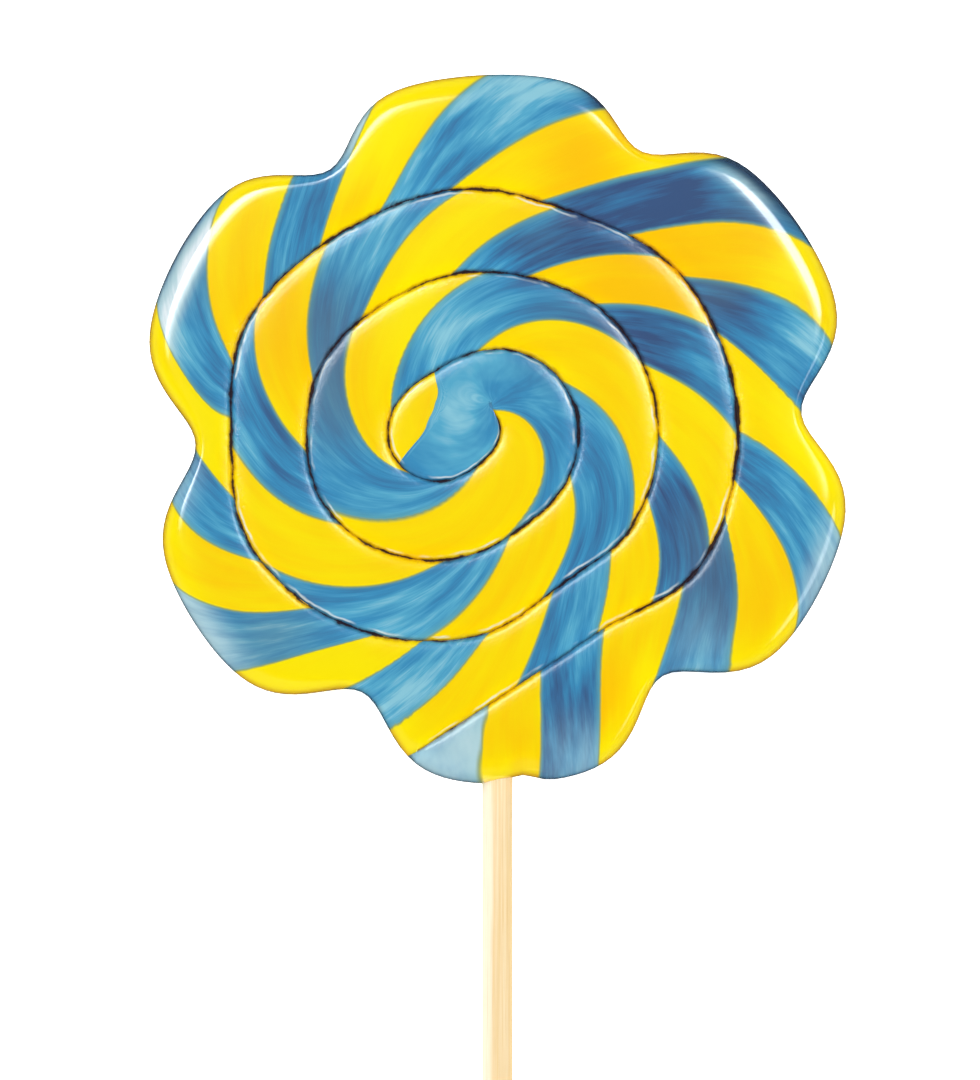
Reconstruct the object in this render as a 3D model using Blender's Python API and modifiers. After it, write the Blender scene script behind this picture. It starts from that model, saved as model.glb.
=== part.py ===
"""Swirl lollipop lying on its back: one candy rope coiled and fused flat, and a stick set into its rim."""

import math

import bmesh
import bpy
import numpy as np
from mathutils import Matrix

# Candy disc, in metres
THICKNESS = 0.009
RIM_ROUNDING = 0.0045
CROWN_FALL = 0.0003

# Scalloped outline: six petals with a notch after each, in degrees clockwise from up
PETAL_COUNT = 6
FIRST_PETAL = 357.0
PETAL_RADII = (0.0514, 0.0525, 0.0522, 0.0518, 0.0528, 0.0534)
NOTCH_DIRECTIONS = (27.0, 87.0, 147.0, 207.7, 267.0, 326.3)
NOTCH_RADII = (0.0451, 0.0438, 0.0431, 0.0434, 0.0444, 0.0450)
NOTCH_WIDTHS = (9.2, 10.1, 10.3, 10.4, 10.7, 9.3)
DENT_DIRECTION = 176.5
DENT_DEPTH = 0.0012
DENT_WIDTH = 3.0

# Seam between the rope's turns: a spiral about the coil's eye, in metres, degrees and metres a turn
EYE = (-0.00587, 0.00036)
SEAM_START = 53.0
SEAM_END = 1269.0
SEAM_BASE = 0.00073
ROPE_PITCH = 0.01193
HOOK_SIZE = 0.0022
HOOK_LENGTH = 11.7
OVAL_SIZE = 0.0015
OVAL_DIRECTION = 70.0
DRIFT_RIGHT = (0.00082, -0.00042)
DRIFT_UP = (-0.00196, 0.00017)
PRESS_DEPTHS = (0.00156, 0.0, 0.00414, 0.0, 0.00313, 0.00074)
PRESS_HALF_WIDTH = 30.0
PRESS_GROWTH = 2.62
PRESS_TURNS = 3.2
STRAIGHT_END_SPAN = 40.0

# Crease pressed along the seam, front and back
FRONT_CREASE = 0.0011
BACK_CREASE = 0.0006
CREASE_HALF_WIDTH = 0.0017
CREASE_FADE_IN = 50.0
CREASE_FADE_OUT = 9.0

# Stick
STICK_RADIUS = 0.0022
STICK_LENGTH = 0.150
STICK_SEAT = 0.045
STICK_CHAMFER = 0.0004
STICK_SIDES = 36
FIT_GAP = 0.0003

# Mesh fineness
STEP = 4.0
STEPS_A_TURN = round(360.0 / STEP)
RAY_PASSES = 12
FRONT_CELLS = (6, 9)
BACK_CELLS = (4, 6)
RIM_POINTS = 1440


def smooth_step(value):
    """Rise from 0 to 1 with level ends."""
    held = min(max(value, 0.0), 1.0)
    return held * held * (3.0 - 2.0 * held)


def raised_cosine(offset, half_width):
    """A rounded bump of height 1 that ends at the half width."""
    if abs(offset) >= half_width:
        return 0.0
    return 0.5 + 0.5 * math.cos(math.pi * offset / half_width)


def dip(offset, width):
    """A rounded dip of depth 1 with soft shoulders."""
    return math.exp(-((offset / width) ** 2))


def turned_offset(direction, middle):
    """Difference of two directions, between -180 and 180 degrees."""
    return (direction - middle + 180.0) % 360.0 - 180.0


def way(direction):
    """Unit vector of a direction in degrees clockwise from up."""
    angle = math.radians(direction)
    return math.sin(angle), math.cos(angle)


def crown_radius(direction):
    """Radius of the petals' tops, blended from each petal to the next."""
    span = 360.0 / PETAL_COUNT
    place = ((direction - FIRST_PETAL) % 360.0) / span
    before = int(place) % PETAL_COUNT
    after = (before + 1) % PETAL_COUNT
    share = smooth_step(place - int(place))
    return PETAL_RADII[before] * (1.0 - share) + PETAL_RADII[after] * share


def outline_radius(direction):
    """Radius of the scalloped outline about the head's centre."""
    radius = crown_radius(direction)
    for middle, notch_radius, width in zip(NOTCH_DIRECTIONS, NOTCH_RADII, NOTCH_WIDTHS):
        depth = crown_radius(middle) - notch_radius
        radius -= depth * dip(turned_offset(direction, middle), width)
    radius -= DENT_DEPTH * dip(turned_offset(direction, DENT_DIRECTION), DENT_WIDTH)
    return radius


def outline_point(direction):
    """Point of the outline that lies in a direction from the eye."""
    right, up = way(direction)
    across = EYE[1] * right - EYE[0] * up
    bearing = direction
    for _ in range(RAY_PASSES):
        bearing = direction - math.degrees(math.asin(across / outline_radius(bearing)))
    right, up = way(bearing)
    radius = outline_radius(bearing)
    return radius * right, radius * up


def spiral_radius(angle):
    """Radius of the plain spiral about the eye, with its hook, oval, drift and pressed waves."""
    turns = angle / 360.0
    right, up = way(angle)
    radius = SEAM_BASE + ROPE_PITCH * turns
    radius += HOOK_SIZE * math.exp((SEAM_START - angle) / HOOK_LENGTH)
    radius += OVAL_SIZE * math.cos(2.0 * math.radians(angle - OVAL_DIRECTION))
    radius += (DRIFT_RIGHT[0] + DRIFT_RIGHT[1] * turns) * right
    radius += (DRIFT_UP[0] + DRIFT_UP[1] * turns) * up
    growth = (turns / PRESS_TURNS) ** PRESS_GROWTH
    for middle, depth in zip(NOTCH_DIRECTIONS, PRESS_DEPTHS):
        radius -= depth * growth * raised_cosine(turned_offset(angle, middle), PRESS_HALF_WIDTH)
    return radius


def seam_point(angle):
    """Point of the seam at an angle wound up from its start. Its last stretch runs straight outward."""
    right, up = way(angle)
    radius = spiral_radius(angle)
    leaving = SEAM_END - STRAIGHT_END_SPAN
    if angle > leaving:
        out_right, out_up = way(leaving)
        begin = spiral_radius(leaving)
        start = (begin * out_right, begin * out_up)
        finish = outline_point(SEAM_END)
        leg = (finish[0] - EYE[0] - start[0], finish[1] - EYE[1] - start[1])
        radius = (start[0] * leg[1] - start[1] * leg[0]) / (right * leg[1] - up * leg[0])
    return EYE[0] + radius * right, EYE[1] + radius * up


def crease_share(angle):
    """How deep the seam's crease is along its way, from 0 to 1."""
    fade_in = smooth_step((angle - SEAM_START) / CREASE_FADE_IN)
    fade_out = smooth_step((SEAM_END - angle) / CREASE_FADE_OUT)
    return fade_in * fade_out


def outline_ring():
    """Closely spaced points around the outline."""
    ring = [outline_point(360.0 * number / RIM_POINTS) for number in range(RIM_POINTS)]
    return np.array(ring)


def rim_share(points, ring):
    """Height of the rounded rim at each point, as a share of half the thickness."""
    start = ring
    leg = np.roll(ring, -1, axis=0) - ring
    leg_square = (leg ** 2).sum(axis=1)
    shares = []
    for point in points:
        along = ((point - start) * leg).sum(axis=1) / leg_square
        foot = start + leg * np.clip(along, 0.0, 1.0)[:, None]
        nearest = math.sqrt(((foot - point) ** 2).sum(axis=1).min())
        inward = 1.0 - min(nearest / RIM_ROUNDING, 1.0)
        shares.append(math.sqrt(max(1.0 - inward * inward, 0.0)))
    return shares


def crease_drop(distance):
    """Share of the crease's depth at a distance from the seam."""
    near = max(1.0 - distance / CREASE_HALF_WIDTH, 0.0)
    return near * near


def section(step):
    """Both ends of the rope's cross-section at a step, and the crease there."""
    angle = SEAM_START + STEP * step
    last = round((SEAM_END - SEAM_START) / STEP)
    inner = seam_point(SEAM_START)
    inner_crease = 0.0
    if step > STEPS_A_TURN:
        inner = seam_point(angle - 360.0)
        inner_crease = crease_share(angle - 360.0)
    if step <= last:
        return inner, seam_point(angle), inner_crease, crease_share(angle)
    return inner, outline_point(angle), inner_crease, 0.0


def sheet_height(place, length, creases, depth, fall):
    """Half the candy's thickness at a place across the rope."""
    drop = creases[0] * crease_drop(place * length)
    drop += creases[1] * crease_drop((1.0 - place) * length)
    side = 2.0 * place - 1.0
    return THICKNESS / 2.0 - depth * drop - fall * side * side


def add_face(mesh, corners):
    """Add a face, leaving out corners that repeat."""
    kept = []
    for corner in corners:
        if corner not in kept:
            kept.append(corner)
    if len(kept) > 2:
        mesh.faces.new(kept)


def join_rows(mesh, first, second):
    """Fill the strip between two rows of vertices, which may differ in number."""
    if len(first) == len(second):
        for number in range(len(first) - 1):
            add_face(mesh, (first[number], second[number], second[number + 1], first[number + 1]))
        return
    here = 0
    there = 0
    while here < len(first) - 1 or there < len(second) - 1:
        next_here = (here + 1) / max(len(first) - 1, 1)
        next_there = (there + 1) / max(len(second) - 1, 1)
        if there == len(second) - 1 or (here < len(first) - 1 and next_here <= next_there):
            add_face(mesh, (first[here], second[there], first[here + 1]))
            here += 1
        else:
            add_face(mesh, (first[here], second[there], second[there + 1]))
            there += 1


def build_sheet(mesh, ring, rim, up, cells, depth, fall):
    """Loft one face of the coil, from the pole outward, sharing the rim's vertices."""
    last = round((SEAM_END - SEAM_START) / STEP)
    seam = {}
    before = None
    for step in range(last + STEPS_A_TURN + 1):
        inner, outer, inner_crease, outer_crease = section(step)
        length = math.hypot(outer[0] - inner[0], outer[1] - inner[1])
        count = cells[0] if step <= last else cells[1]
        places = [0.5 - 0.5 * math.cos(math.pi * number / count) for number in range(count + 1)]
        points = [
            (inner[0] + (outer[0] - inner[0]) * place, inner[1] + (outer[1] - inner[1]) * place)
            for place in places
        ]
        shares = rim_share(points, ring)
        row = []
        for number, (place, point, share) in enumerate(zip(places, points, shares)):
            half = share * sheet_height(place, length, (inner_crease, outer_crease), depth, fall)
            spot = (point[0], point[1], THICKNESS / 2.0 + up * half)
            if number == 0:
                key = max(step - STEPS_A_TURN, 0)
                if key not in seam:
                    seam[key] = rim[0] if key == last else mesh.verts.new(spot)
                row.append(seam[key])
            elif number == count and step >= last:
                row.append(rim[(step - last) % STEPS_A_TURN])
            elif number == count:
                if step not in seam:
                    seam[step] = mesh.verts.new(spot)
                row.append(seam[step])
            elif length > FIT_GAP:
                row.append(mesh.verts.new(spot))
        if before:
            join_rows(mesh, before, row)
        before = row


def build_coil():
    """The candy as one closed solid: two lofted faces that meet at the middle of the rim."""
    mesh = bmesh.new()
    ring = outline_ring()
    last = round((SEAM_END - SEAM_START) / STEP)
    rim = []
    for number in range(STEPS_A_TURN):
        point = outline_point(SEAM_START + STEP * (last + number))
        rim.append(mesh.verts.new((point[0], point[1], THICKNESS / 2.0)))
    build_sheet(mesh, ring, rim, 1.0, FRONT_CELLS, FRONT_CREASE, CROWN_FALL)
    build_sheet(mesh, ring, rim, -1.0, BACK_CELLS, BACK_CREASE, 0.0)
    bmesh.ops.recalc_face_normals(mesh, faces=mesh.faces)
    data = bpy.data.meshes.new("candy_coil")
    mesh.to_mesh(data)
    mesh.free()
    data.shade_smooth()
    return bpy.data.objects.new("candy_coil", data)


def material(name, colour, roughness, coat):
    """A named Principled material."""
    made = bpy.data.materials.new(name)
    made.use_nodes = True
    shader = made.node_tree.nodes["Principled BSDF"]
    shader.inputs["Base Color"].default_value = (*colour, 1.0)
    shader.inputs["Roughness"].default_value = roughness
    shader.inputs["Coat Weight"].default_value = coat
    made.diffuse_color = (*colour, 1.0)
    return made


def rod(name, radius, length, inner_end, centre_x):
    """A round rod along the length of the part, from its inner end down."""
    bpy.ops.mesh.primitive_cylinder_add(
        vertices=STICK_SIDES,
        radius=radius,
        depth=length,
        location=(centre_x, inner_end - length / 2.0, THICKNESS / 2.0),
        rotation=(math.pi / 2.0, 0.0, 0.0),
    )
    made = bpy.context.object
    made.name = name
    made.data.name = name
    bpy.ops.object.transform_apply(location=True, rotation=True, scale=True)
    return made


def move_to(thing, collection):
    """Put an object in one collection only."""
    for old in list(thing.users_collection):
        old.objects.unlink(thing)
    collection.objects.link(thing)


def main():
    """Build the candy and its stick and set their shared frame."""
    for old in list(bpy.data.objects):
        bpy.data.objects.remove(old)
    parts = bpy.data.collections.new("swirl_lollipop")
    cutters = bpy.data.collections.new("cutters")
    bpy.context.scene.collection.children.link(parts)
    bpy.context.scene.collection.children.link(cutters)

    coil = build_coil()
    parts.objects.link(coil)
    corners = np.array([vertex.co[:] for vertex in coil.data.vertices])
    low = corners.min(axis=0)
    high = corners.max(axis=0)
    middle_x = (low[0] + high[0]) / 2.0
    inner_end = low[1] + STICK_SEAT

    stick = rod("stick", STICK_RADIUS, STICK_LENGTH, inner_end, middle_x)
    move_to(stick, parts)
    bevel = stick.modifiers.new("end_chamfer", "BEVEL")
    bevel.width = STICK_CHAMFER
    bevel.segments = 2
    bevel.limit_method = "ANGLE"
    bpy.ops.object.modifier_apply(modifier=bevel.name)

    socket_length = STICK_LENGTH + FIT_GAP
    socket = rod("stick_socket", STICK_RADIUS + FIT_GAP, socket_length, inner_end + FIT_GAP, middle_x)
    move_to(socket, cutters)
    socket.hide_render = True
    socket.display_type = "WIRE"
    bpy.context.view_layer.objects.active = coil
    cut = coil.modifiers.new("stick_socket", "BOOLEAN")
    cut.operation = "DIFFERENCE"
    cut.solver = "EXACT"
    cut.object = socket
    bpy.ops.object.modifier_apply(modifier=cut.name)

    bottom = low[1] + STICK_SEAT - STICK_LENGTH
    shift = (-middle_x, -(high[1] + bottom) / 2.0, 0.0)
    for thing in (coil, stick, socket):
        thing.data.transform(Matrix.Translation(shift))
        thing.data.update()
    coil.data.materials.clear()
    coil.data.materials.append(material("candy", (1.0, 0.72, 0.02), 0.18, 0.6))
    stick.data.materials.append(material("stick_wood", (0.91, 0.78, 0.56), 0.6, 0.0))
    for piece in (coil, stick):
        piece.data.shade_smooth()


main()
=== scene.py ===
import math

import bpy
import numpy as np
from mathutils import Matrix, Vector


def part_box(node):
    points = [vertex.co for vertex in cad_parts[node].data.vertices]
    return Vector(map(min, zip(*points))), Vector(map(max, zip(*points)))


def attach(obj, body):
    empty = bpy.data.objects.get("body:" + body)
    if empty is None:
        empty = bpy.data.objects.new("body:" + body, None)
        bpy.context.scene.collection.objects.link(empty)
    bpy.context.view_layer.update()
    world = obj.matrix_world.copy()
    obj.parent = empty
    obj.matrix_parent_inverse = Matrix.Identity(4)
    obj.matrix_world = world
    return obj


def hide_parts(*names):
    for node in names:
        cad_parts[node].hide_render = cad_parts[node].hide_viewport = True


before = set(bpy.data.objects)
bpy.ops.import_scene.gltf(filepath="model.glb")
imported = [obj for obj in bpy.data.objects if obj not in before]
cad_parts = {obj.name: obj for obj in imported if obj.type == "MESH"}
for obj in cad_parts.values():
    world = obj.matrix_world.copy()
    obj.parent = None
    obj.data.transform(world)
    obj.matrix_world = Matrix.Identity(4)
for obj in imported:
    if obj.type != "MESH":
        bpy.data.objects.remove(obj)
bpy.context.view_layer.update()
COIL_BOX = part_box("candy_coil")
STICK_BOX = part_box("stick")

bl_info = {
    "name": "Swirl lollipop",
    "version": (1, 0, 0),
    "blender": (4, 5, 0),
    "location": "3D View > Sidebar > Lollipop",
    "description": "Makes a flat swirl lollipop with a scalloped rim, its stick and a plain studio",
    "category": "Add Mesh",
}

# Scalloped outline, in metres, and degrees clockwise from up
PETAL_COUNT = 6
FIRST_PETAL = 357.0
PETAL_RADII = (0.0514, 0.0525, 0.0522, 0.0518, 0.0528, 0.0534)
NOTCH_DIRECTIONS = (27.0, 87.0, 147.0, 207.7, 267.0, 326.3)
NOTCH_RADII = (0.0451, 0.0438, 0.0431, 0.0434, 0.0444, 0.0450)
NOTCH_WIDTHS = (9.2, 10.1, 10.3, 10.4, 10.7, 9.3)
DENT_DIRECTION = 176.5
DENT_DEPTH = 0.0012
DENT_WIDTH = 3.0
RAY_PASSES = 12
NOTCH_SHARPNESS = 0.66
NOTCH_REACH = 1.3

# Seam between the rope's turns: a spiral about the coil's eye
EYE = (-0.00587, 0.00036)
SEAM_START = 53.0
SEAM_END = 1269.0
SEAM_BASE = 0.00073
ROPE_PITCH = 0.01193
HOOK_SIZE = 0.0022
HOOK_LENGTH = 11.7
OVAL_SIZE = 0.0015
OVAL_DIRECTION = 70.0
DRIFT_RIGHT = (0.00082, -0.00042)
DRIFT_UP = (-0.00196, 0.00017)
PRESS_DEPTHS = (0.00156, 0.0, 0.00414, 0.0, 0.00313, 0.00074)
PRESS_HALF_WIDTH = 30.0
PRESS_GROWTH = 2.62
PRESS_TURNS = 3.2
STRAIGHT_END_SPAN = 40.0
CREASE_FADE_IN = 50.0
CREASE_FADE_OUT = 6.0

# Ribbons: where each colour change leaves the rope's inner edge, where it meets the outer edge and how far it
# bows between them, in degrees wound up about the swirl's middle. The first change is blue to yellow.
SWIRL_MIDDLE = (-0.001523, -0.000653)
RIBBON_EDGES = (
    (0, -95, 0), (0, 175, 0), (199, 244, 0), (243, 308, 0), (279, 359, -2), (350, 427, -7), (414, 486, -3),
    (478, 523, -2), (529, 558, -1), (558, 601, -2), (598, 627, -1), (623, 659, -5), (645, 680, -1),
    (670, 714, -1), (706, 737, 0), (733, 765, -1), (759, 786, -1), (786, 811, -1), (811, 839, -2),
    (832, 857, 0), (854, 872, 0), (878, 894, 0), (900, 919, 0), (918, 930, 0), (929, 947, 1),
    (945, 965, -2), (960, 978, 0), (975, 987, 0), (993, 1012, -6), (1004, 1034, -3), (1020, 1043, 1),
    (1037, 1061, -1), (1053, 1080, -1), (1070, 1100, 1), (1092, 1121, 1), (1115, 1141, -2),
    (1131, 1156, -1), (1146, 1167, 1), (1170, 1187, -3), (1181, 1204, -3), (1189, 1215, 3), (1208, 1228, 0),
    (1230, 1242, 1), (1248, 1252, 0), (1260, 1261, 1), (1310, 1300, 0),
)
RIBBON_BOW = 0.85
RIBBON_REACH = 1.3
WIDTH_BLUR = 12.0
NARROWEST_RIBBON = 0.001

# Yellow patch in the coil's first turn: direction, then where across the rope it starts
PATCH_EDGE = (
    (228, 1.25), (238, 1), (243, 0.8), (250, 0.65), (276, 0.56), (300, 0.61), (315, 0.71), (325, 0.84),
    (336, 1), (346, 1.25),
)
PATCH_SOFTNESS = 0.2
PATCH_BLUR_ROWS = 4
PATCH_PHASE = -1.5
BLOB_START = -0.3
BLOB_SWIRL = -0.35
BLOB_BLEND_ROWS = 70

# Soft changes of tone over the disc: right, up and reach in millimetres, then strength
# Some lighter blue tones at the upper right rim are painted highlight
BLUE_TONES = (
    (9, 80.5, 14, -0.5), (27, 87, 22, -0.6), (21, 67, 13, -0.5), (35, 71, 13, -0.32), (26, 39, 14, -0.36),
    (13, 13, 13, -0.15), (-33, 55, 9, -0.12), (-28, 88, 10, -0.16), (-16, 81, 14, 0.2), (-14, 16, 16, 0.26),
    (-2, 69, 10, 0.14), (6, 100, 13, 0.26), (43, 67, 12, 0.14), (-6, 52, 9, 0.25), (-42, 40, 10, 0.1),
    (-34, 22, 16, 0.1), (31, 30, 9, -0.35), (-30, 47, 9, -0.08), (13, 12, 8, -0.2), (0, 102, 10, 0.12),
    (-6, 91, 9, -0.15), (37, 88, 10, 0.45), (6, 83, 6, 0.35), (-27, 68, 12, -0.22), (-19, 62, 9, -0.16),
    (-9, 67, 9, 0.35), (42, 75, 8, 0.5), (-47, 64, 8, 0.26), (42, 57, 8, -0.15), (-37, 49, 7, 0.25),
    (50, 64, 6, -0.15), (33, 92, 9, 0.4), (-29, 91, 7, 0.25), (32, 48, 6, -0.3), (6, 4, 8, -0.2),
    (32, 22, 8, -0.15), (50, 38, 7, 0.2), (-3, 100, 8, 0.12), (41, 83, 7, 0.2), (32, 74, 7, -0.15),
    (32, 48, 7, -0.15), (24, 83, 8, -0.15),
)
GOLD_TONES = (
    (19, 74, 15, 0.5), (34, 77, 17, 0.35), (-31, 65, 15, 0.3), (-40, 30, 11, 0.05), (-37, 77, 11, 0.15),
    (-11, 73, 9, -0.25), (38, 31, 12, 0.28), (14, 92, 13, 0.45), (-11, 65, 9, -0.5), (42, 75, 10, -0.5),
    (-7, 81, 14, -0.2), (28, 51, 14, -0.08), (-22, 19, 14, -0.35), (-42, 54, 12, -0.25),
    (39, 54, 14, -0.12), (-16, 94, 12, -0.28), (50, 74, 9, 0.4), (15, 13, 9, 0.4), (6, 4, 9, 0.35),
    (41, 83, 9, 0.3),
)
PALE_TONES = ((-7, 4, 14, 0.85), (-2, 9, 10, 0.5), (29, 21, 12, 0.35), (12, 4, 13, 0.5))
# Pale rim: clear, thin candy at the rim, in places also a painted highlight
PALE_RIM_AND_HIGHLIGHT_TONES = (
    (-44, 25, 22, 1), (49, 32, 22, 0.75), (-46, 70, 22, 0.5), (6, 102, 18, 0.25), (-46, 45, 11, 0.5),
    (-21, 96, 10, 1.2),
)
# Painted highlight: pale bands along the rim's shoulder where the lamps' reflection lies
HIGHLIGHT_BAND_TONES = ((-44, 80, 15, 1.9), (-48, 68, 11, 1.2), (50, 33, 9, 0.2), (37, 89, 11, 0.9))
HIGHLIGHT_BAND_MIDDLE = 2.7
HIGHLIGHT_BAND_REACH = 1.7
PALE_RIM_WIDTH = 7.0
PALE_RIM_FADE = 6.5
# Painted shade: the candy darkens towards the rim, most where the tones below say
RIM_SHADE_WIDTH = 3.4
RIM_SHADE_FADE = 3.0
PAINTED_RIM_SHADE_TONES = ((36, 92, 24, 1.2), (16, 97, 12, 0.9), (-24, 90, 10, 0.25), (-46, 82, 20, 0.3))
GREY_TONES = (
    (-26, 67, 14, 0.6), (-23, 56, 11, 0.6), (-33, 22, 13, 0.45), (10, 65, 11, 0.4), (39, 87, 11, 0.6),
    (32, 38, 9, 0.5), (5, 83, 8, 0.3), (32, 74, 8, 0.5), (31, 28, 11, 0.45), (-42, 75, 10, 0.3),
)
DULL_TONES = ((-15, 94, 14, 0.8), (18, 92, 9, 1), (22, 87, 10, 0.8), (46, 49, 12, 1.2), (21, 13, 11, 0.8))
SEAM_TONES = (
    (0, 14, 26, -0.8), (-32, 30, 18, -0.25), (14, 80, 14, -0.45), (36, 52, 16, 0.5), (-10, 52, 22, -0.4),
    (-14, 71, 9, -0.8), (34, 41.5, 5, -1.4), (17, 24, 9, -0.5), (24, 50, 8, -0.5), (27, 33, 8, 0.5),
)

# Lamps: name, azimuth clockwise from up, elevation, size and watts.
# Keys light the colours and aren't mirrored. Glows are only mirrored.
LAMP_DISTANCE = 1.0
KEY_LAMPS = (
    ("left_key", 312.0, 50.0, (0.9, 0.9), 6.9),
    ("right_key", 55.0, 58.0, (0.6, 0.6), 4.9),
    ("right_low_key", 115.0, 20.0, (0.7, 0.4), 3.0),
    ("low_fill", 205.0, 15.0, (1.5, 0.9), 7.6),
)
GLOW_LAMPS = (
    ("left_glow", 312.0, 45.0, (0.8, 0.5), 6.4),
    ("left_halo", 312.0, 52.0, (1.0, 0.6), 3.4),
    ("right_glow", 55.0, 46.0, (0.55, 0.55), 5.0),
    ("right_halo", 55.0, 54.0, (0.7, 0.6), 1.4),
    ("right_low_glow", 110.0, 20.0, (0.66, 0.34), 0.9),
)

# The floor lies a hair below the candy, so the two never share a plane
FLOOR_HEIGHT = -0.0003
FLOOR_SIZE = 4.0

# Even light of the surroundings, and how bright the camera sees them
AIR_LIGHT = 0.03
BACKDROP_LIGHT = 1.0

# Camera: its place over the candy, the height it looks at and its sensor in millimetres
CAMERA_PLACE = (-0.00107, 0.03634)
AIM_HEIGHT = 0.006
SENSOR_WIDTH = 36.0

# Mesh fineness
STEP = 1.6
STEPS_A_TURN = 225
FRONT_CELLS = 28
BACK_CELLS = 18
RIM_POINTS = 1440
NEAR_RIM = 0.035
CHUNK_POINTS = 2000
SEAM_MAP_REACH = 0.01
RIM_MAP_REACH = 0.02

# Stick: facets and the worn edge at its ends
STICK_FACETS = 64
STICK_WEAR = 0.0005
WEAR_STEPS = 4
SHARP_ANGLE = 35.0

# Candy finish: streaks across a ribbon and their change per millimetre along it
FINE_STREAKS = (52.0, 0.16)
MEDIUM_STREAKS = (7.0, 0.12)
BROAD_STREAKS = (2.6, 0.1)
STREAK_LEAN = 0.012

# How gold the yellow is and how light the blue is, then what broad, medium and fine streaks add
GOLD_LEVEL = 0.45
GOLD_STREAKS = (0.7, 0.3, 0.2)
BLUE_LEVEL = 0.64
BLUE_STREAKS = (0.8, 1.0, 0.32)
BLUE_STOPS = (0.05, 0.3, 0.58, 0.8, 1.0)

# Seam line, in millimetres from its middle: dark core, painted brown shade of the crease and a painted
# highlight beside it
SEAM_CORE = (0.23, 0.05)
SEAM_SHADE = (0.6, 0.15)
SEAM_BROWN = (0.6, 0.4, 0.38)
GLINT_BAND = (0.35, 0.5, 0.6, 0.85)
WORN_REACH = (2.8, 0.3)


def turned_offset(direction, middle):
    """Difference of two directions, between -180 and 180 degrees."""
    return (direction - middle + 180.0) % 360.0 - 180.0


def smooth_step(value):
    """Rise from 0 to 1 with level ends."""
    held = np.clip(value, 0.0, 1.0)
    return held * held * (3.0 - 2.0 * held)


def raised_cosine(offset, half_width):
    """A rounded bump of height 1 that ends at the half width."""
    inside = np.abs(offset) < half_width
    return np.where(inside, 0.5 + 0.5 * np.cos(math.pi * offset / half_width), 0.0)


def way(direction):
    """Unit vectors of directions in degrees clockwise from up."""
    angle = np.radians(direction)
    return np.stack([np.sin(angle), np.cos(angle)], axis=-1)


def cross(first, second):
    """Flat cross product."""
    return first[..., 0] * second[..., 1] - first[..., 1] * second[..., 0]


def crown_radius(direction):
    """Radius of the petals' tops, blended from each petal to the next."""
    span = 360.0 / PETAL_COUNT
    place = ((direction - FIRST_PETAL) % 360.0) / span
    before = np.floor(place).astype(int) % PETAL_COUNT
    radii = np.array(PETAL_RADII)
    share = smooth_step(place - np.floor(place))
    return radii[before] * (1.0 - share) + radii[(before + 1) % PETAL_COUNT] * share


def outline_radius(direction):
    """Radius of the scalloped outline about the head's centre."""
    radius = crown_radius(direction)
    for middle, notch_radius, width in zip(NOTCH_DIRECTIONS, NOTCH_RADII, NOTCH_WIDTHS):
        depth = crown_radius(np.array(middle)) - notch_radius
        radius = radius - depth * np.exp(-((turned_offset(direction, middle) / width) ** 2))
    dent = np.exp(-((turned_offset(direction, DENT_DIRECTION) / DENT_WIDTH) ** 2))
    return radius - DENT_DEPTH * dent


def notch_share(direction):
    """How far into a notch each direction lies, from 0 on the petals to 1 in the notches."""
    share = 0.0
    for middle, width in zip(NOTCH_DIRECTIONS, NOTCH_WIDTHS):
        share = share + np.exp(-((turned_offset(direction, middle) / (NOTCH_REACH * width)) ** 2))
    return share


def outline_points(direction):
    """Points of the outline that lie in directions from the eye."""
    direction = np.asarray(direction, dtype=float)
    across = cross(-np.array(EYE), way(direction))
    bearing = direction
    for _ in range(RAY_PASSES):
        bearing = direction - np.degrees(np.arcsin(across / outline_radius(bearing)))
    return outline_radius(bearing)[..., None] * way(bearing)


def spiral_radius(angle):
    """Radius of the plain spiral about the eye, with its hook, oval, drift and pressed waves."""
    turns = angle / 360.0
    heading = way(angle)
    radius = SEAM_BASE + ROPE_PITCH * turns
    radius = radius + HOOK_SIZE * np.exp((SEAM_START - angle) / HOOK_LENGTH)
    radius = radius + OVAL_SIZE * np.cos(2.0 * np.radians(angle - OVAL_DIRECTION))
    radius = radius + (DRIFT_RIGHT[0] + DRIFT_RIGHT[1] * turns) * heading[..., 0]
    radius = radius + (DRIFT_UP[0] + DRIFT_UP[1] * turns) * heading[..., 1]
    growth = (turns / PRESS_TURNS) ** PRESS_GROWTH
    for middle, depth in zip(NOTCH_DIRECTIONS, PRESS_DEPTHS):
        radius = radius - depth * growth * raised_cosine(turned_offset(angle, middle), PRESS_HALF_WIDTH)
    return radius


def seam_points(angle):
    """Points of the seam at angles wound up from its start, with a straight last stretch."""
    angle = np.asarray(angle, dtype=float)
    heading = way(angle)
    leaving = np.array(SEAM_END - STRAIGHT_END_SPAN)
    start = spiral_radius(leaving) * way(leaving)
    leg = outline_points(SEAM_END) - np.array(EYE) - start
    straight = cross(start, leg) / cross(heading, leg)
    radius = np.where(angle > leaving, straight, spiral_radius(angle))
    return np.array(EYE) + radius[..., None] * heading


def crease_share(angle):
    """How deep the seam's crease is along its way, from 0 to 1."""
    fading_in = smooth_step((angle - SEAM_START) / CREASE_FADE_IN)
    return fading_in * smooth_step((SEAM_END - angle) / CREASE_FADE_OUT)


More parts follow.
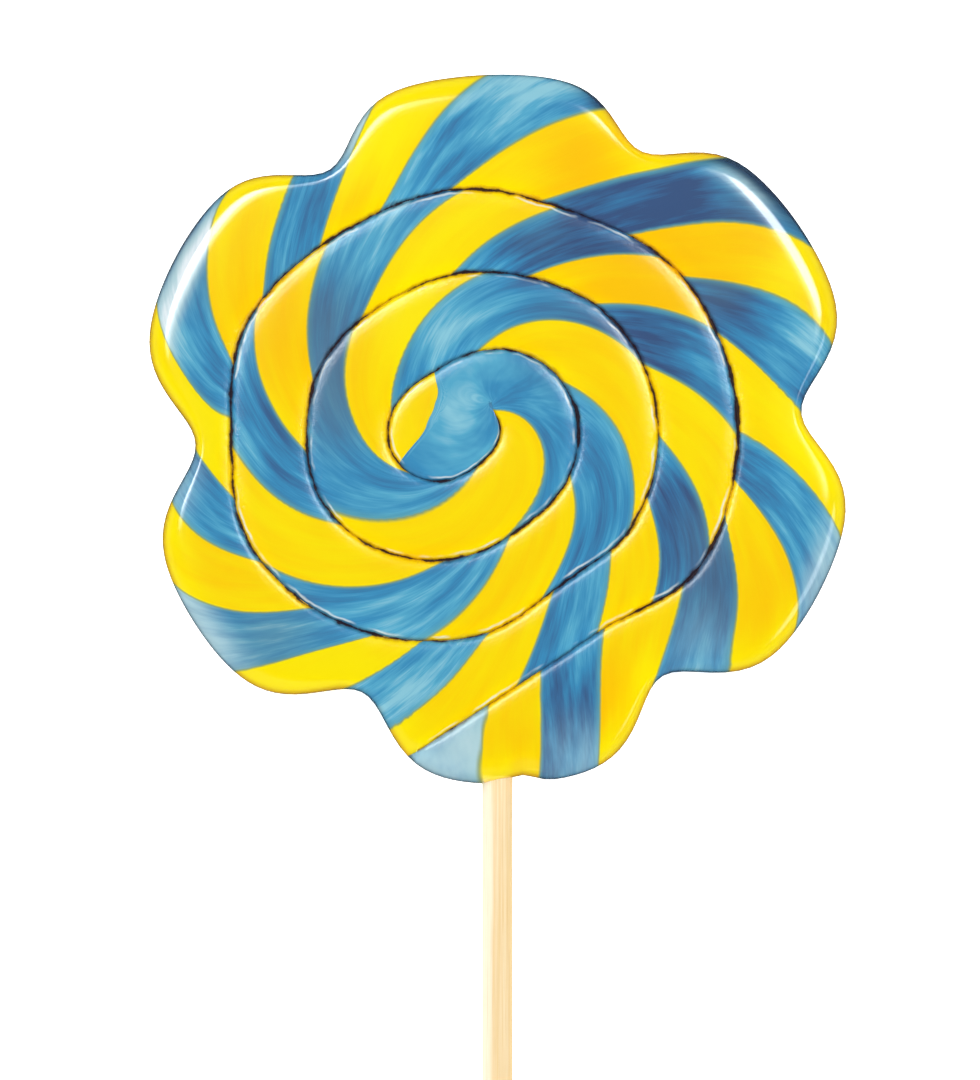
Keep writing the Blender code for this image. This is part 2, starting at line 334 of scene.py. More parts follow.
def rim_distance(points):
    """Distance of each point from the outline, for points near it."""
    ring = outline_points(np.arange(RIM_POINTS) * 360.0 / RIM_POINTS)
    leg = np.roll(ring, -1, axis=0) - ring
    leg_square = (leg ** 2).sum(axis=1)
    flat = points.reshape(-1, 2)
    distance = np.full(len(flat), np.inf)
    near = np.nonzero(np.hypot(flat[:, 0], flat[:, 1]) > NEAR_RIM)[0]
    for chunk in np.array_split(near, max(len(near) // CHUNK_POINTS, 1)):
        gap = flat[chunk][:, None, :] - ring[None]
        along = np.clip((gap * leg[None]).sum(axis=2) / leg_square, 0.0, 1.0)
        foot = gap - along[..., None] * leg[None]
        distance[chunk] = np.sqrt((foot ** 2).sum(axis=2).min(axis=1))
    return distance.reshape(points.shape[:-1])


def rope_sections(cells):
    """Grids over the rope: points, shares across, edge creases and section lengths."""
    last = round((SEAM_END - SEAM_START) / STEP)
    angle = SEAM_START + STEP * np.arange(last + STEPS_A_TURN + 1)
    inner_angle = np.maximum(angle - 360.0, SEAM_START)
    inner = seam_points(inner_angle)
    on_seam = (angle <= SEAM_END)[:, None]
    outer = np.where(on_seam, seam_points(np.minimum(angle, SEAM_END)), outline_points(angle))
    place = 0.5 - 0.5 * np.cos(math.pi * np.arange(cells + 1) / cells)
    points = inner[:, None] * (1.0 - place)[None, :, None] + outer[:, None] * place[None, :, None]
    length = np.hypot(*(outer - inner).T)
    creases = crease_share(inner_angle), np.where(angle <= SEAM_END, crease_share(angle), 0.0)
    return angle, points, place, length, creases


def ribbon_phase(angle, points, place, length):
    """Which ribbon each grid point lies in: even numbers start yellow, odd ones start blue."""
    from_middle = points - np.array(SWIRL_MIDDLE)
    bearing = np.degrees(np.arctan2(from_middle[..., 0], from_middle[..., 1]))
    bearing = np.degrees(np.unwrap(np.radians(bearing), axis=1))
    first = STEPS_A_TURN
    inner_bearing = np.degrees(np.unwrap(np.radians(bearing[first:, 0])))
    inner_bearing -= 360.0 * np.round(inner_bearing[0] / 360.0)
    rope = bearing[first:] + (inner_bearing - bearing[first:, 0])[:, None]
    blur = round(WIDTH_BLUR / STEP)
    padded = np.pad(length[first:], blur, mode="edge")
    usual = np.convolve(padded, np.ones(2 * blur + 1) / (2 * blur + 1), mode="valid")
    reach = length[first:] / usual
    across = place[None] * reach[:, None]
    ends = np.interp([edge[1] for edge in RIBBON_EDGES], np.maximum.accumulate(rope[:, -1]), reach)
    lines = []
    for (start, finish, bow), end in zip(RIBBON_EDGES, ends):
        share = np.clip(across / end, 0.0, RIBBON_REACH)
        lines.append(start + (finish - start) * share ** RIBBON_BOW + 4.0 * bow * share * (1.0 - share))
    phase = np.full(points.shape[:-1], -1.0)
    for before, after in zip(lines, lines[1:]):
        phase[first:] += np.clip((rope - before) / np.maximum(after - before, NARROWEST_RIBBON), 0.0, 1.0)
    starts = np.pad(np.interp(angle[:first], *zip(*PATCH_EDGE)), PATCH_BLUR_ROWS, mode="edge")
    window = np.ones(2 * PATCH_BLUR_ROWS + 1) / (2 * PATCH_BLUR_ROWS + 1)
    depth = place[None] - np.convolve(starts, window, mode="valid")[:, None]
    blob = BLOB_START + BLOB_SWIRL * np.arange(first)[:, None] / first
    patch = smooth_step(0.5 + depth / PATCH_SOFTNESS)
    joining = smooth_step((np.arange(first) - first + BLOB_BLEND_ROWS) / BLOB_BLEND_ROWS)[:, None]
    phase[:first] = (blob * (1.0 - patch) + PATCH_PHASE * patch) * (1.0 - joining) + phase[first] * joining
    return phase


def tone_field(points, shift, tones):
    """Summed strength of soft round tones at each point."""
    total = np.zeros(points.shape[:-1])
    for right, up, reach, strength in tones:
        gap = np.hypot(*np.moveaxis(1000.0 * (points + shift) - (right, up), -1, 0))
        total += strength * smooth_step(1.0 - gap / reach)
    return total


def sheet_heights(sizes, up, place, length, creases, rim, bearing):
    """Height of each grid point, with the rounded rim, the seam's groove and the rope's soft shoulders."""
    half = sizes.thickness / 2.0
    rounding = sizes.rim_rounding * (1.0 - NOTCH_SHARPNESS * notch_share(bearing))
    inward = 1.0 - np.clip(rim / rounding, 0.0, 1.0)
    share = np.sqrt(np.maximum(1.0 - inward * inward, 0.0))
    groove = sizes.groove_depth if up > 0 else sizes.back_groove_depth
    shoulder = sizes.shoulder_depth if up > 0 else 0.0
    drop = 0.0
    for crease, gap in zip(creases, seam_gaps(place, length)):
        cut = groove * np.maximum(1.0 - gap / sizes.groove_width, 0.0) ** 2
        slope = shoulder * np.maximum(1.0 - gap / sizes.shoulder_width, 0.0) ** 2
        drop = drop + crease[:, None] * (cut + slope)
    fall = sizes.crown_fall * (2.0 * place - 1.0)[None] ** 2 if up > 0 else 0.0
    return half + up * share * (half - drop - fall)


def seam_gaps(place, length):
    """Distance of each grid point from the rope's inner and outer edges."""
    return place[None] * length[:, None], (1.0 - place)[None] * length[:, None]


def sheet_vertices(places, last, first_id, rim_ids):
    """New vertices of one face and the number of each grid point's vertex, shared along the seam and rim."""
    rows, columns = places.shape[:2]
    ids = np.zeros((rows, columns), dtype=int)
    vertices = []
    seam = {}
    for row in range(rows):
        for column in range(columns):
            key = None
            if row == 0:
                key = 0
            elif column == 0:
                key = max(row - STEPS_A_TURN, 0)
            elif column == columns - 1:
                key = row
            if row == rows - 1:
                ids[row, column] = rim_ids[0]
                continue
            if key is not None and key >= last:
                ids[row, column] = rim_ids[(key - last) % STEPS_A_TURN]
                continue
            if key is not None and key in seam:
                ids[row, column] = seam[key]
                continue
            ids[row, column] = first_id + len(vertices)
            vertices.append(tuple(places[row, column]))
            if key is not None:
                seam[key] = ids[row, column]
    return vertices, ids


def sheet_maps(points, shift, place, length, creases, phase, rim):
    """The candy's own maps, two numbers each, with distances in millimetres."""
    gaps = seam_gaps(place, length)
    to_seam = []
    for crease, gap in zip(creases, gaps):
        near = np.minimum(gap, SEAM_MAP_REACH)
        to_seam.append(1000.0 * np.where(crease[:, None] > 0.0, near, SEAM_MAP_REACH))
    rim = 1000.0 * np.minimum(rim, RIM_MAP_REACH)
    pale = tone_field(points, shift, PALE_TONES)
    # Pale rim: partly clear candy, partly painted highlight
    pale += tone_field(points, shift, PALE_RIM_AND_HIGHLIGHT_TONES) * smooth_step((PALE_RIM_WIDTH - rim) / PALE_RIM_FADE)
    # Painted highlight: a pale band at the rim's shoulder, added to the pale map
    highlight_band = np.exp(-(((rim - HIGHLIGHT_BAND_MIDDLE) / HIGHLIGHT_BAND_REACH) ** 2))
    pale += tone_field(points, shift, HIGHLIGHT_BAND_TONES) * highlight_band
    # Painted shade: darker candy at the rim
    painted_rim_shade = tone_field(points, shift, PAINTED_RIM_SHADE_TONES) * smooth_step((RIM_SHADE_WIDTH - rim) / RIM_SHADE_FADE)
    return {
        "ribbon": (phase, 1000.0 * gaps[0]),
        "seam": tuple(to_seam),
        "tones": (tone_field(points, shift, BLUE_TONES), tone_field(points, shift, GOLD_TONES)),
        "clear": (pale, painted_rim_shade),
        "edge": (rim, tone_field(points, shift, SEAM_TONES)),
        "shine": (tone_field(points, shift, GREY_TONES), tone_field(points, shift, DULL_TONES)),
    }


def sheet_faces(ids, up, data):
    """Faces of one sheet, wound outwards and without doubled corners, and their corners' map data."""
    faces = []
    corners = []
    for row in range(ids.shape[0] - 1):
        for column in range(ids.shape[1] - 1):
            loop = ((row, column), (row + 1, column), (row + 1, column + 1), (row, column + 1))
            if up > 0:
                loop = loop[::-1]
            kept = []
            used = []
            for spot in loop:
                number = ids[spot]
                if number not in used:
                    used.append(number)
                    kept.append(spot)
            if len(kept) > 2:
                faces.append([int(number) for number in used])
                corners.extend(data[spot] for spot in kept)
    return faces, corners


def coil_sheet(sizes, up, cells, first_id, rim_ids, shift):
    """One face of the coil as vertices, faces, the faces' corner data and the maps' names."""
    angle, points, place, length, creases = rope_sections(cells)
    rim = rim_distance(points)
    bearing = np.degrees(np.arctan2(points[..., 0], points[..., 1]))
    height = sheet_heights(sizes, up, place, length, creases, rim, bearing)
    places = np.concatenate([points + shift, height[..., None]], axis=-1)
    last = len(angle) - 1 - STEPS_A_TURN
    vertices, ids = sheet_vertices(places, last, first_id, rim_ids)
    phase = ribbon_phase(angle, points, place, length)
    maps = sheet_maps(points, shift, place, length, creases, phase, rim)
    data = np.stack([column for pair in maps.values() for column in pair], axis=-1)
    faces, corners = sheet_faces(ids, up, data)
    return vertices, faces, corners, list(maps)


def build_coil_mesh(sizes):
    """The coiled candy as a closed mesh with its own maps."""
    last = round((SEAM_END - SEAM_START) / STEP)
    ring = outline_points(SEAM_START + STEP * (last + np.arange(STEPS_A_TURN)))
    low, high = COIL_BOX
    shift = np.array([low[0] - ring[:, 0].min(), high[1] - ring[:, 1].max()])
    vertices = [(x + shift[0], y + shift[1], sizes.thickness / 2.0) for x, y in ring]
    rim_ids = list(range(len(vertices)))
    faces = []
    corners = []
    for up, cells in ((1.0, FRONT_CELLS), (-1.0, BACK_CELLS)):
        more, sides, data, layers = coil_sheet(sizes, up, cells, len(vertices), rim_ids, shift)
        vertices.extend(more)
        faces.extend(sides)
        corners.extend(data)
    mesh = bpy.data.meshes.new("swirl_candy")
    mesh.from_pydata(vertices, [], faces)
    data = np.array(corners)
    for number, name in enumerate(layers):
        layer = mesh.uv_layers.new(name=name)
        layer.data.foreach_set("uv", np.ascontiguousarray(data[:, 2 * number:2 * number + 2]).ravel())
    mesh.validate()
    mesh.shade_smooth()
    return mesh


class Wire:
    """A node's output socket that takes part in arithmetic."""

    def __init__(self, finish, socket):
        self.finish = finish
        self.socket = socket

    def math(self, operation, first, second=None):
        """Add one Math node."""
        values = {0: first} if second is None else {0: first, 1: second}
        return self.finish.node("ShaderNodeMath", {"operation": operation}, values)

    def __add__(self, other):
        return self.math("ADD", self, other)

    def __sub__(self, other):
        return self.math("SUBTRACT", self, other)

    def __rsub__(self, other):
        return self.math("SUBTRACT", other, self)

    def __mul__(self, other):
        return self.math("MULTIPLY", self, other)

    __radd__ = __add__
    __rmul__ = __mul__

    def absolute(self):
        """The value without its sign."""
        return self.math("ABSOLUTE", self)

    def whole(self):
        """The whole number below the value."""
        return self.math("FLOOR", self)

    def least(self, other):
        """The smaller of two values."""
        return self.math("MINIMUM", self, other)

    def most(self, other):
        """The larger of two values."""
        return self.math("MAXIMUM", self, other)

    def rise(self, start, finish):
        """A smooth way from 0 at start to 1 at finish, level beyond both. Start may be the larger."""
        values = {0: self, 1: start, 2: finish, 3: 0.0, 4: 1.0}
        if start > finish:
            values = {0: self, 1: finish, 2: start, 3: 1.0, 4: 0.0}
        return self.finish.node("ShaderNodeMapRange", {"interpolation_type": "SMOOTHSTEP"}, values)


class Finish:
    """The nodes of a material or of the surroundings under construction."""

    def __init__(self, owner, shader):
        owner.use_nodes = True
        self.owner = owner
        self.nodes = owner.node_tree.nodes
        self.links = owner.node_tree.links
        self.shader = self.nodes[shader]

    def place(self, socket, value):
        """Give a socket a link or a plain value."""
        if isinstance(value, Wire):
            self.links.new(value.socket, socket)
        elif isinstance(value, tuple) and socket.type == "RGBA" and len(value) == 3:
            socket.default_value = (*value, 1.0)
        else:
            socket.default_value = value

    def node(self, kind, settings=None, values=None, output=0):
        """Add a node: its settings first, then its sockets' values or links."""
        made = self.nodes.new(kind)
        for key, value in (settings or {}).items():
            if key == "stops":
                for number, (position, colour) in enumerate(value):
                    ramp = made.color_ramp.elements
                    stop = ramp[number] if number < 2 else ramp.new(position)
                    stop.position = position
                    stop.color = (*colour, 1.0)
            else:
                setattr(made, key, value)
        for key, value in (values or {}).items():
            self.place(made.inputs[key], value)
        return Wire(self, made.outputs[output])

    def mix(self, share, first, second, blend="MIX"):
        """Blend two colours."""
        settings = {"data_type": "RGBA", "blend_type": blend, "clamp_factor": True}
        return self.node("ShaderNodeMix", settings, {0: share, 6: first, 7: second}, output=2)

    def map_pair(self, name):
        """Both numbers of one of the candy's own maps."""
        return self.split(self.node("ShaderNodeUVMap", {"uv_map": name}))[:2]

    def spot(self, x, y, z=0.0):
        """A vector from three numbers."""
        return self.node("ShaderNodeCombineXYZ", None, {0: x, 1: y, 2: z})

    def split(self, vector):
        """The three numbers of a vector."""
        first = self.node("ShaderNodeSeparateXYZ", None, {0: vector})
        return tuple(Wire(self, output) for output in first.socket.node.outputs)

    def object_place(self):
        """Place on the object, as a vector in metres and as three numbers in millimetres."""
        where = self.node("ShaderNodeTexCoord", output=3)
        return where, tuple(number * 1000.0 for number in self.split(where))

    def noise(self, vector, scale, detail=2.0, roughness=0.5):
        """Soft noise between 0 and 1."""
        values = {"Vector": vector, "Scale": scale, "Detail": detail, "Roughness": roughness}
        return self.node("ShaderNodeTexNoise", None, values)

    def bump(self, height):
        """Give the surface a relief of this height in millimetres."""
        values = {"Strength": 1.0, "Distance": 0.001, "Height": height}
        self.set(Normal=self.node("ShaderNodeBump", None, values))

    def set(self, **values):
        """Set the surface's sockets by name, with underscores for spaces."""
        for key, value in values.items():
            self.place(self.shader.inputs[key.replace("_", " ")], value)


def new_finish(name):
    """A new material with the usual surface."""
    return Finish(bpy.data.materials.new(name), "Principled BSDF")


def linear(red, green, blue):
    """A display colour in 0 to 255 as linear light."""
    made = []
    for value in (red, green, blue):
        share = value / 255.0
        made.append(share / 12.92 if share <= 0.04045 else ((share + 0.055) / 1.055) ** 2.4)
    return tuple(made)


def candy_finish(colours):
    """Hard candy pulled in yellow and blue ribbons, with its dark seam and a rim that is partly clear and
    partly painted highlight and shade.
    """
    made = new_finish("candy_ribbons")
    phase, over = made.map_pair("ribbon")
    inner_seam, outer_seam = made.map_pair("seam")
    blue_tone, gold_tone = made.map_pair("tones")
    # The clear map holds the pale rim, partly painted highlight, and the painted shade of the rim
    pale, painted_rim_shade = made.map_pair("clear")
    rim, seam_tone = made.map_pair("edge")
    grey, dull = made.map_pair("shine")
    position, _ = made.object_place()

    # Each pair of phases is one yellow and one blue ribbon, and their line wobbles a little
    wobble = made.noise(made.spot(phase * 1.3, over * 0.12), 1.0, 1.0) - 0.5
    phase = phase + wobble * 0.05
    pair = phase * 0.5
    local = (pair - pair.whole()) * 2.0
    in_yellow = local.rise(1.008, 0.992)
    into_blue = local - 1.0

    # Pulled streaks of three sizes
    lean = phase + over * STREAK_LEAN
    fine = made.noise(made.spot(lean * FINE_STREAKS[0], over * FINE_STREAKS[1]), 1.0, 3.0, 0.6)
    medium = made.noise(made.spot(lean * MEDIUM_STREAKS[0], over * MEDIUM_STREAKS[1], 3.0), 1.0, 3.0, 0.62)
    broad = made.noise(made.spot(phase * BROAD_STREAKS[0], over * BROAD_STREAKS[1], 7.0), 1.0, 1.0)

    gold = GOLD_LEVEL + (broad - 0.5) * GOLD_STREAKS[0] + (medium - 0.5) * GOLD_STREAKS[1]
    gold = gold + (fine - 0.5) * GOLD_STREAKS[2] + gold_tone - rim.rise(7.0, 0.0) * 0.4
    yellow = made.mix(gold.rise(0.0, 1.0), tuple(colours.lemon), tuple(colours.golden))
    # Painted shade: the yellow turns deeper gold at the rim
    gold_edge_shade = (rim.rise(1.1, 0.0) * 0.9 + painted_rim_shade * 0.35).least(1.0)
    yellow = made.mix(gold_edge_shade, yellow, tuple(colours.rim_shade_gold))

    tone = BLUE_LEVEL + (broad - 0.5) * BLUE_STREAKS[0] + (medium - 0.5) * BLUE_STREAKS[1]
    tone = tone + (fine - 0.5) * BLUE_STREAKS[2] + blue_tone - into_blue.rise(0.4, 1.0) * 0.1
    shades = (colours.navy, colours.deep, colours.core, colours.bright, colours.clear)
    stops = [(place, tuple(shade)) for place, shade in zip(BLUE_STOPS, shades)]
    blue = made.node("ShaderNodeValToRGB", {"stops": stops}, {0: tone})
    fringe = into_blue.rise(0.13, 0.0).most(into_blue.rise(0.93, 1.0))
    blue = made.mix(fringe * 0.75, blue, tuple(colours.teal))
    blue = made.mix(grey * (0.7 + broad * 0.6), blue, tuple(colours.slate))
    # Pale, clear candy near the rim and at the tip, partly painted highlight; where it is strongest it turns
    # white, mostly painted highlight
    streaked = pale * (0.8 + (medium - 0.5) * 1.0)
    blue = made.mix(streaked.rise(0.0, 1.0) * 0.9, blue, tuple(colours.pale))
    blue = made.mix(streaked.rise(0.9, 1.7) * 0.85, blue, tuple(colours.white))
    # Painted shade: the blue darkens to navy at the rim
    blue_edge_shade = painted_rim_shade + rim.rise(0.9, 0.1) * 0.55
    blue = made.mix(blue_edge_shade.rise(0.0, 1.1) * 0.9, blue, tuple(colours.rim_shade_blue))

    surface = made.mix(in_yellow, blue, yellow)
    border = into_blue.absolute().least(local.least(2.0 - local))
    surface = made.mix(border.rise(0.032, 0.0) * 0.8, surface, tuple(colours.olive))

    #     The seam's line is torn and wanders, with a painted highlight along the edge of the inner rope
    teeth = made.noise(position, 1000.0, 3.0, 0.7) - 0.5
    along = made.noise(position, 230.0, 2.0, 0.6) - 0.5
    wander = (made.noise(position, 420.0, 1.0) - 0.5) * 0.6
    beside = (outer_seam - wander).absolute()
    gap = (inner_seam + wander).absolute().least(beside)
    gap = gap + teeth * 0.5 - along * 0.8 - seam_tone * 0.25
    beside = beside - along * 0.5
    glint = beside.rise(*GLINT_BAND[:2]) * beside.rise(GLINT_BAND[3], GLINT_BAND[2])
    glint = glint * made.noise(position, 190.0, 2.0).rise(0.42, 0.6)
    surface = made.mix(glint * 0.65, surface, tuple(colours.glint))
    # Painted shade: brown darkening around the seam's crease
    surface = made.mix(gap.rise(*SEAM_SHADE) * 0.8, surface, SEAM_BROWN, "MULTIPLY")
    surface = made.mix(gap.rise(*SEAM_CORE) * 0.95, surface, tuple(colours.seam))

    # Worn and dull places lose the glossy coat
    worn = inner_seam.least(outer_seam).rise(*WORN_REACH)
    dull = dull.rise(0.0, 1.2)
    patches = made.noise(position, 150.0, 1.0).rise(0.4, 0.6)
    rough = 0.14 + fine * 0.05 + worn * (0.02 + patches * 0.03) + dull * 0.02
    made.set(Base_Color=surface, Roughness=rough, IOR=1.5, Specular_IOR_Level=0.3)
    made.set(Coat_Weight=(1.0 - worn * 0.9) * (1.0 - dull), Coat_Roughness=0.13, Coat_IOR=1.75)
    swell = made.noise(position, 160.0, 1.0)
    made.bump(fine * 0.012 + swell * 0.14 + teeth * worn * 0.15)
    return made.owner


def wood_finish(colours):
    """Pale straight-grained wood."""
    made = new_finish("pale_wood")
    _, (x, y, z) = made.object_place()
    grain = made.noise(made.spot(x * 2.6, y * 0.035, z * 2.6), 1.0, 4.0, 0.65)
    fleck = made.noise(made.spot(x * 9.0, y * 0.09, z * 9.0), 1.0, 2.0)
    # Painted shade across the round stick: lighter on the left and more golden on the right; the wood is also
    # more golden towards the far end
    golden = x.rise(-1.3, -0.4) * 0.65 + (grain - 0.5) * 1.3
    golden = golden + x.rise(1.0, 2.2) * 0.2 + y.rise(0.0, -110.0) * 0.42
    base = made.mix(golden.rise(0.0, 1.0), tuple(colours.wood_light), tuple(colours.wood_dark))
    base = made.mix(fleck.rise(0.54, 0.74) * 0.55, base, tuple(colours.wood_line))
    made.set(Base_Color=base, Roughness=0.5 + grain * 0.2)
    made.bump(grain * 0.03)
    return made.owner


def floor_finish(shade):
    """Plain white board that glows a little, clear when seen from underneath."""
    made = new_finish("white_board")
    position, _ = made.object_place()
    tone = made.noise(position, 40.0, 2.0)
    darker = 0.97 * shade
    made.set(Base_Color=made.mix(tone * 0.04, (shade, shade, shade), (darker, darker, darker)))
    made.set(Roughness=0.9, Emission_Color=(1.0, 1.0, 1.0), Emission_Strength=0.95, Specular_IOR_Level=0.0)
    under = made.node("ShaderNodeNewGeometry", output="Backfacing")
    board = Wire(made, made.shader.outputs["BSDF"])
    clear = made.node("ShaderNodeBsdfTransparent")
    both = made.node("ShaderNodeMixShader", None, {0: under, 1: board, 2: clear})
    made.place(made.nodes["Material Output"].inputs["Surface"], both)
    return made.owner


def soft_air(name):
    """Dim even surroundings that the camera sees as a pale backdrop."""
    made = Finish(bpy.data.worlds.new(name), "Background")
    seen = made.node("ShaderNodeLightPath", output="Is Camera Ray")
    values = {"Value": seen, "To Min": AIR_LIGHT, "To Max": BACKDROP_LIGHT}
    made.set(Color=(1.0, 1.0, 1.0), Strength=made.node("ShaderNodeMapRange", None, values))
    return made.owner


def clear_selection():
    """Leave nothing selected and no object in hand."""
    bpy.ops.object.select_all(action="DESELECT")
    bpy.context.view_layer.objects.active = None


def colour_property(name, description, default):
    """A colour setting."""
    return bpy.props.FloatVectorProperty(
        name=name, description=description, default=default, size=3, min=0.0, max=1.0, subtype="COLOR"
    )


def length_property(name, description, default):
    """A length setting in metres."""
    return bpy.props.FloatProperty(
        name=name, description=description, default=default, precision=5, unit="LENGTH"
    )


class LollipopSizes(bpy.types.PropertyGroup):
    """Sizes of the candy."""

    thickness: length_property("Thickness", "Thickness of the candy", 0.009)
    rim_rounding: length_property("Rim rounding", "How far in the rim is rounded", 0.0045)
    groove_depth: length_property("Groove depth", "Depth of the seam's narrow groove", 0.0004)
    groove_width: length_property("Groove width", "How far the narrow groove reaches from the seam", 0.0008)
    shoulder_depth: length_property("Shoulder depth", "How much the rope falls towards the seam", 0.0003)
    shoulder_width: length_property("Shoulder width", "How far from the seam the rope starts to fall", 0.0026)
    back_groove_depth: length_property("Back groove depth", "Depth of the seam on the back", 0.0006)
    crown_fall: length_property("Crown fall", "How much the rope's edges lie below its crown", 0.0002)


class LollipopColours(bpy.types.PropertyGroup):
    """Colours of the candy and the stick, as linear light."""

    lemon: colour_property("Lemon", "Lightest yellow", linear(253, 231, 0))
    golden: colour_property("Golden", "Deepest yellow", linear(252, 195, 0))
    # Golden rim is painted shade at the edge
    rim_shade_gold: colour_property("Golden rim", "Yellow at the very edge", linear(232, 172, 20))
    navy: colour_property("Navy", "Darkest blue streaks", linear(58, 84, 126))
    deep: colour_property("Deep blue", "Dark blue streaks", linear(58, 108, 154))
    core: colour_property("Blue", "Most of the blue ribbons", linear(60, 141, 187))
    bright: colour_property("Bright blue", "Light blue streaks", linear(86, 169, 203))
    clear: colour_property("Clear blue", "Lightest blue streaks", linear(138, 200, 218))
    slate: colour_property("Slate", "Grey cast of the blue here and there", linear(88, 118, 140))
    teal: colour_property("Teal", "Blue where it thins beside the yellow", linear(96, 166, 178))
    # Pale blue: clear, thin candy, and in places a painted highlight near the rim
    pale: colour_property("Pale blue", "Clear, thin candy near the rim", linear(184, 216, 222))
    # White is mostly a painted highlight where the pale band is strongest, and partly the clearest candy
    white: colour_property("White", "Clearest streaks of the candy", linear(236, 244, 248))
    # Rim blue is painted shade at the edge
    rim_shade_blue: colour_property("Rim blue", "Blue at the very edge", linear(24, 44, 78))
    olive: colour_property("Olive", "Line where yellow and blue meet", linear(140, 158, 92))
    # The sugar edge is a painted highlight: a thin broken pale line beside the seam
    glint: colour_property("Sugar edge", "Thin pale line beside the seam", linear(232, 240, 236))
    seam: colour_property("Seam", "Dark line between the rope's turns", linear(44, 26, 34))
    wood_light: colour_property("Light wood", "Lightest grain", linear(253, 240, 212))
    wood_dark: colour_property("Wood", "Golden grain", linear(241, 209, 150))
    wood_line: colour_property("Grain line", "Darkest grain lines", linear(226, 186, 124))


class LollipopStudio(bpy.types.PropertyGroup):
    """Camera and light."""

    lens: bpy.props.FloatProperty(name="Lens", description="Camera lens in millimetres", default=100.0)
    view_height: length_property("View height", "Height of the picture at the candy", 0.1566)
    floor_shade: bpy.props.FloatProperty(
        name="Floor shade", description="How light the floor is", default=0.9, subtype="FACTOR"
    )


class LOLLIPOP_OT_candy(bpy.types.Operator):
    """Make the coiled candy with its ribbons, seam and rounded rim"""

    bl_idname = "lollipop.candy"
    bl_label = "Coiled candy"

    def execute(self, context):
        clear_selection()
        candy = bpy.data.objects.new("swirl_candy", build_coil_mesh(context.scene.lollipop_sizes))
        context.scene.collection.objects.link(candy)
        candy.data.materials.append(candy_finish(context.scene.lollipop_colours))
        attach(candy, "root")
        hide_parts("candy_coil")
        return {"FINISHED"}


class LOLLIPOP_OT_stick(bpy.types.Operator):
    """Give the round stick its straight-grained wood"""

    bl_idname = "lollipop.stick"
    bl_label = "Wooden stick"

    def execute(self, context):
        clear_selection()
        low, high = STICK_BOX
        bpy.ops.mesh.primitive_cylinder_add(
            vertices=STICK_FACETS,
            radius=(high[0] - low[0]) / 2.0,
            depth=high[1] - low[1],
            end_fill_type="NGON",
            calc_uvs=False,
            location=(low + high) / 2.0,
            rotation=(math.pi / 2.0, 0.0, 0.0),
        )
        stick = context.object
        stick.name = "round_stick"
        stick.data.name = "round_stick"
        bpy.ops.object.transform_apply(location=True, rotation=True, scale=True)
        bevel = stick.modifiers.new("worn_ends", "BEVEL")
        bevel.width = STICK_WEAR
        bevel.segments = WEAR_STEPS
        bevel.limit_method = "ANGLE"
        bpy.ops.object.modifier_apply(modifier=bevel.name)
        bpy.ops.object.shade_smooth_by_angle(angle=math.radians(SHARP_ANGLE))
        stick.data.materials.append(wood_finish(context.scene.lollipop_colours))
        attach(stick, "root")
        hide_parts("stick")
        return {"FINISHED"}


def soft_light(context, target, name, azimuth, elevation, size, watts):
    """A large soft lamp that points at the candy, from an azimuth clockwise from up."""
    data = bpy.data.lights.new(name, "AREA")
    data.shape = "ELLIPSE"
    data.size, data.size_y = size
    data.energy = watts
    lamp = bpy.data.objects.new(name, data)
    side, lift = math.radians(azimuth), math.radians(elevation)
    reach = Vector((math.sin(side) * math.cos(lift), math.cos(side) * math.cos(lift), math.sin(lift)))
    lamp.location = target + reach * LAMP_DISTANCE
    lamp.rotation_mode = "QUATERNION"
    lamp.rotation_quaternion = reach.to_track_quat("Z", "Y")
    context.scene.collection.objects.link(lamp)
    return lamp


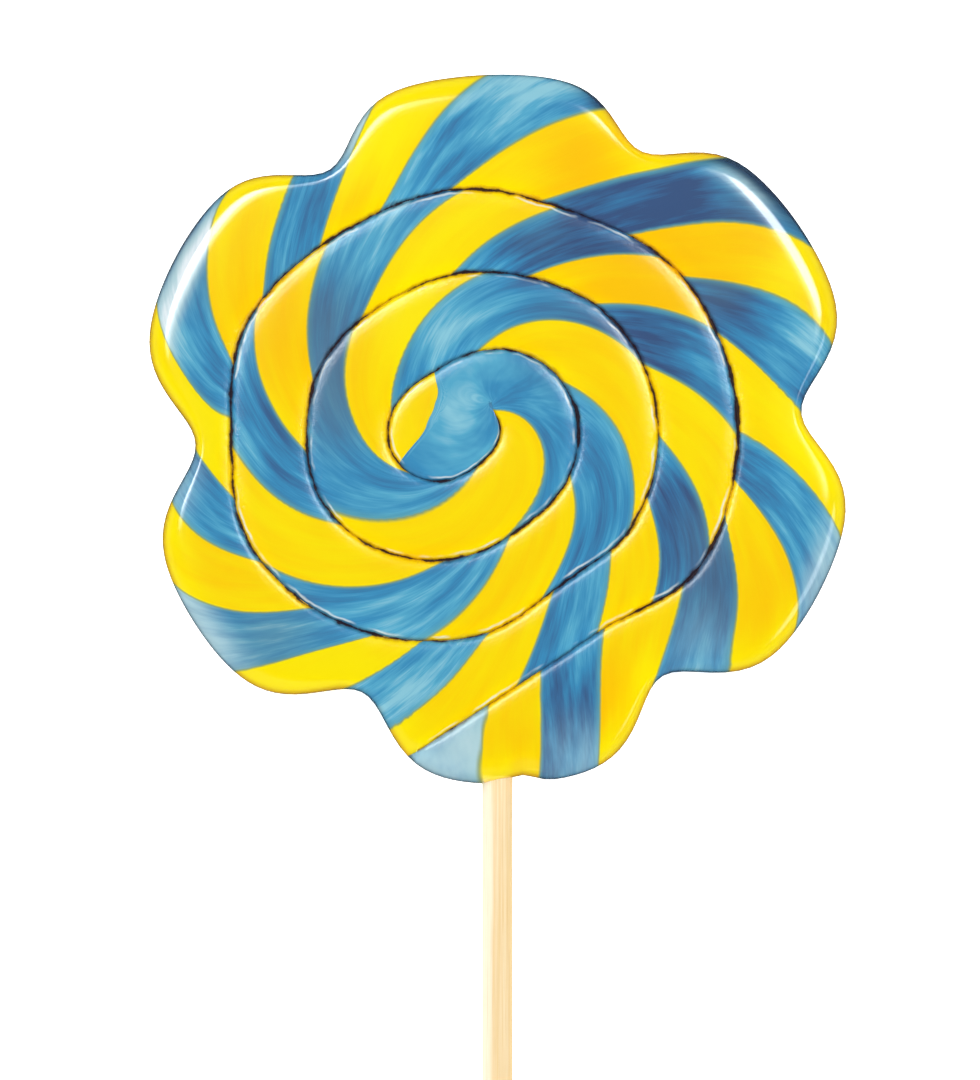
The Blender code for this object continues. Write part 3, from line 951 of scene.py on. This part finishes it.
class LOLLIPOP_OT_studio(bpy.types.Operator):
    """Make the floor, the camera and the soft lights"""

    bl_idname = "lollipop.studio"
    bl_label = "Plain studio"

    def execute(self, context):
        clear_selection()
        settings = context.scene.lollipop_studio
        low, high = COIL_BOX
        target = Vector(((low[0] + high[0]) / 2.0, (low[1] + high[1]) / 2.0, AIM_HEIGHT))
        bpy.ops.mesh.primitive_plane_add(size=FLOOR_SIZE, location=(0.0, 0.0, FLOOR_HEIGHT))
        floor = context.object
        floor.name = "white_floor"
        floor.data.materials.append(floor_finish(settings.floor_shade))
        floor.visible_glossy = False

        for lamp in KEY_LAMPS:
            soft_light(context, target, *lamp).visible_glossy = False
        for lamp in GLOW_LAMPS:
            soft_light(context, target, *lamp).visible_diffuse = False
        context.scene.world = soft_air("soft_air")

        data = bpy.data.cameras.new("front_camera")
        data.lens = settings.lens
        data.sensor_width = SENSOR_WIDTH
        camera = bpy.data.objects.new("front_camera", data)
        height = settings.view_height * settings.lens / SENSOR_WIDTH
        camera.location = (*CAMERA_PLACE, target.z + height)
        context.scene.collection.objects.link(camera)
        context.scene.camera = camera
        context.scene.view_settings.view_transform = "Standard"
        context.scene.view_settings.look = "None"
        return {"FINISHED"}


class LOLLIPOP_PT_panel(bpy.types.Panel):
    """Lists the lollipop's pieces and settings"""

    bl_idname = "LOLLIPOP_PT_panel"
    bl_label = "Swirl lollipop"
    bl_space_type = "VIEW_3D"
    bl_region_type = "UI"
    bl_category = "Lollipop"

    def draw(self, context):
        for step in STEPS:
            self.layout.operator(step.bl_idname)
        scene = context.scene
        for group in (scene.lollipop_sizes, scene.lollipop_colours, scene.lollipop_studio):
            box = self.layout.box()
            for name in group.__annotations__:
                box.prop(group, name)


STEPS = (LOLLIPOP_OT_candy, LOLLIPOP_OT_stick, LOLLIPOP_OT_studio)
CLASSES = (LollipopSizes, LollipopColours, LollipopStudio, *STEPS, LOLLIPOP_PT_panel)


def register():
    """Add the classes and their settings."""
    for made in CLASSES:
        bpy.utils.register_class(made)
    bpy.types.Scene.lollipop_sizes = bpy.props.PointerProperty(type=LollipopSizes)
    bpy.types.Scene.lollipop_colours = bpy.props.PointerProperty(type=LollipopColours)
    bpy.types.Scene.lollipop_studio = bpy.props.PointerProperty(type=LollipopStudio)


def unregister():
    """Take the classes and their settings away again."""
    del bpy.types.Scene.lollipop_studio
    del bpy.types.Scene.lollipop_colours
    del bpy.types.Scene.lollipop_sizes
    for made in reversed(CLASSES):
        bpy.utils.unregister_class(made)


def main():
    """Make every piece and the stage."""
    register()
    bpy.ops.lollipop.candy()
    bpy.ops.lollipop.stick()
    bpy.ops.lollipop.studio()


if __name__ == "__main__":
    main()
